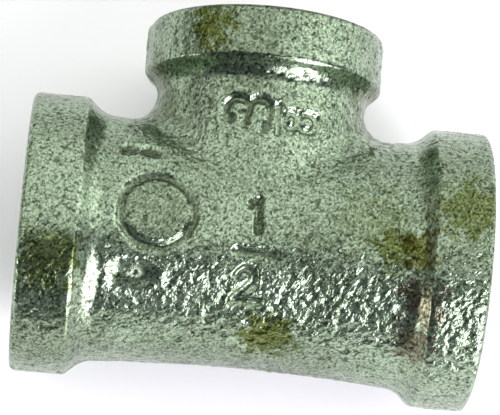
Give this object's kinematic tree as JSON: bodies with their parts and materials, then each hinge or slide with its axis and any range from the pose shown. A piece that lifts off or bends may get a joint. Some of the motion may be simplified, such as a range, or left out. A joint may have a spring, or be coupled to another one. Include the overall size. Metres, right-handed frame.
{
  "type": "reducing tee fitting",
  "caption": "Banded malleable-iron reducing tee for steel pipe: threaded straight run, smaller threaded side branch, rough galvanised casting with sunken size marks.",
  "frame": {"origin": "point where the axis of the run crosses the axis of the branch", "axes": "+X along the run, +Y out of the branch, +Z out of the face with the cast marks; at rest the fitting lies on its back, with -Z down"},
  "size_m": [0.0528, 0.0423, 0.0324],
  "materials": {
    "galvanised": "hot-dip galvanised rough casting, pitted, with a few rust stains",
    "cut_thread": "tapped thread, bare metal dulled by storage"
  },
  "bodies": {
    "root": {"center_body": "galvanised", "branch_neck": "galvanised", "branch_band": "galvanised", "run_band_left": "galvanised", "run_band_right": "galvanised", "branch_thread": "cut_thread", "run_thread_left": "cut_thread", "run_thread_right": "cut_thread"}
  },
  "joints": []
}
